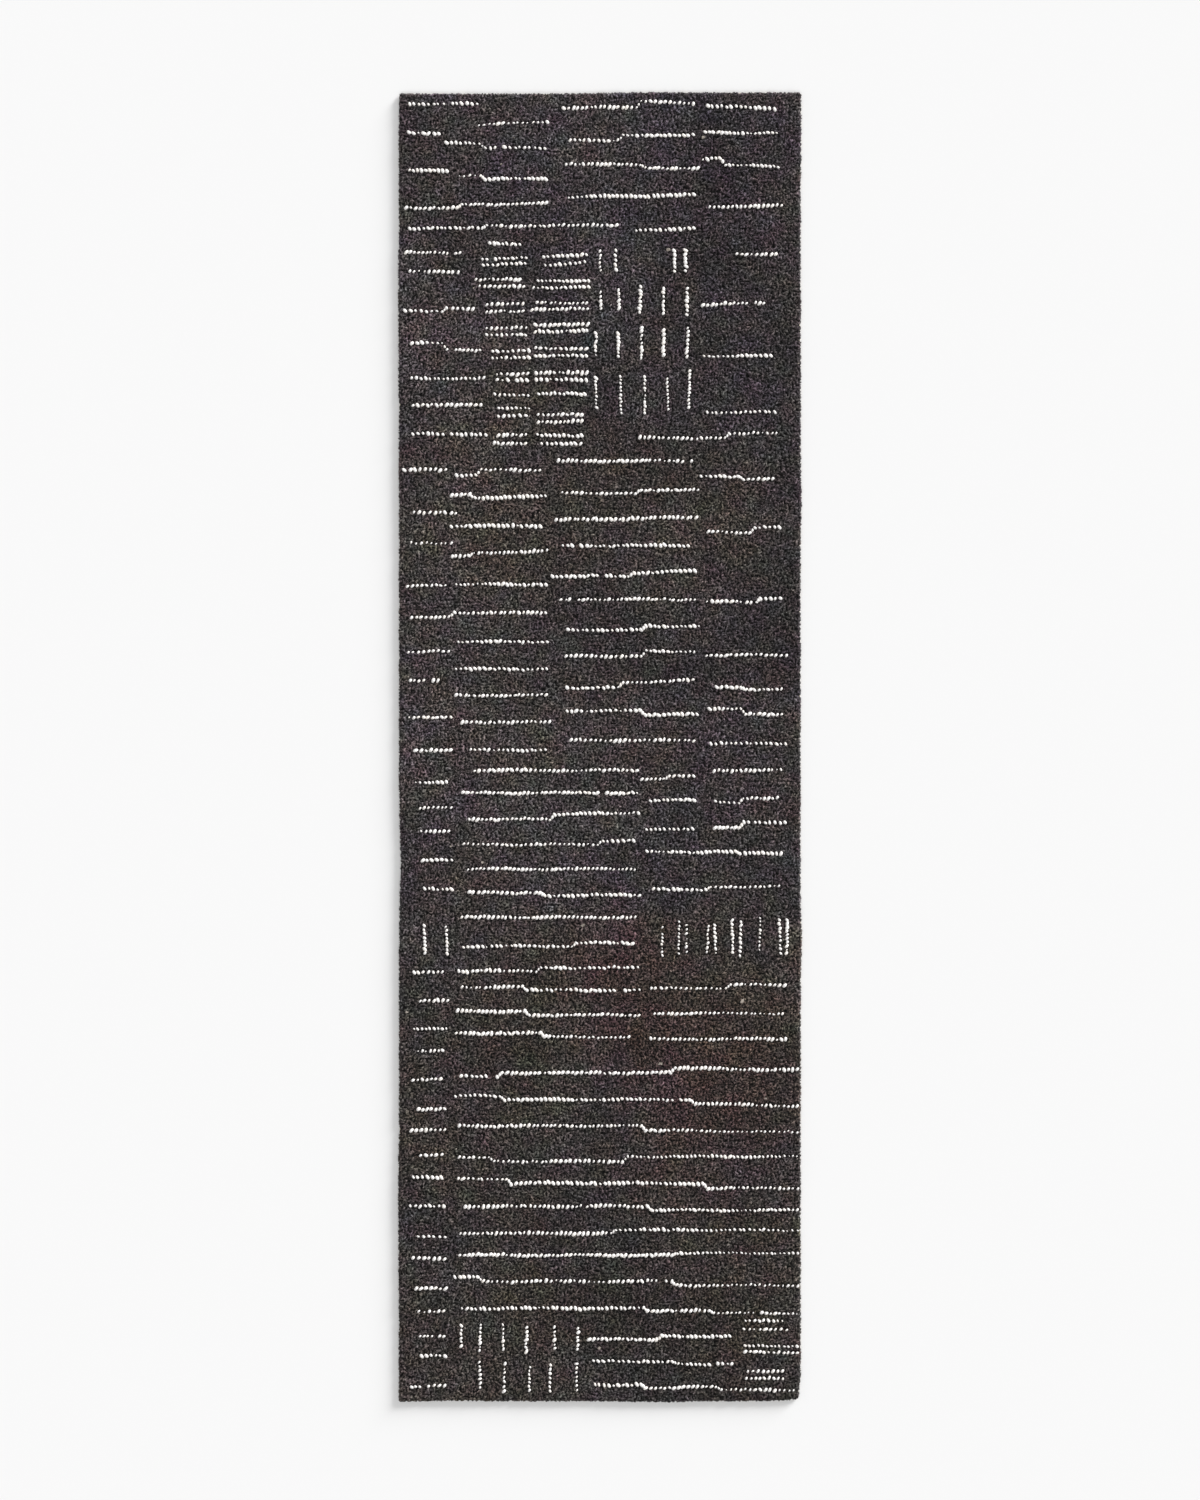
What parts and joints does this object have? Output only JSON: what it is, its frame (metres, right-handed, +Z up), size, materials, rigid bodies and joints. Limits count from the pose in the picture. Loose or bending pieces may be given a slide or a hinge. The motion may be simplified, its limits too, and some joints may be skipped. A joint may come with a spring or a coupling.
{
  "type": "runner rug",
  "caption": "Long narrow hall runner in charcoal heather loop pile with broken rows of raised ivory loops, on latexed cotton cloths with a taped hem.",
  "frame": {"origin": "middle of the underside, on the floor the rug lies on", "axes": "+X across the rug, +Y along the rug towards its head end, +Z up out of the floor through the pile"},
  "size_m": [0.75, 2.44, 0.013],
  "materials": {
    "charcoal_yarn": "heathered wool yarn in uncut loops, dull",
    "ivory_yarn": "undyed wool yarn in raised bobble loops, soft and dull",
    "primary_cotton": "open plain-weave cotton cloth",
    "latex": "dried latex adhesive, cream, slightly glossy",
    "canvas": "natural cotton canvas, plain weave, matt",
    "tape_twill": "cotton twill tape, herringbone, matt",
    "sewing_thread": "waxed cotton thread",
    "label_satin": "blank woven satin label"
  },
  "bodies": {
    "root": {"field_pile": "charcoal_yarn", "head_left_dashes": "ivory_yarn", "head_mid_dashes": "ivory_yarn", "head_uprights": "ivory_yarn", "ladder_dashes": "ivory_yarn", "left_column_dashes": "ivory_yarn", "left_mid_dashes": "ivory_yarn", "mid_column_dashes": "ivory_yarn", "right_column_dashes": "ivory_yarn", "waist_left_dashes": "ivory_yarn", "waist_right_dashes": "ivory_yarn", "waist_uprights": "ivory_yarn", "long_line_dashes": "ivory_yarn", "foot_dashes": "ivory_yarn", "foot_right_dashes": "ivory_yarn", "foot_uprights": "ivory_yarn", "primary_cloth": "primary_cotton", "latex_coat": "latex", "secondary_backing": "canvas", "left_tape": "tape_twill", "right_tape": "tape_twill", "head_tape": "tape_twill", "foot_tape": "tape_twill", "outer_stitches": "sewing_thread", "inner_stitches": "sewing_thread", "care_label": "label_satin"}
  },
  "joints": []
}
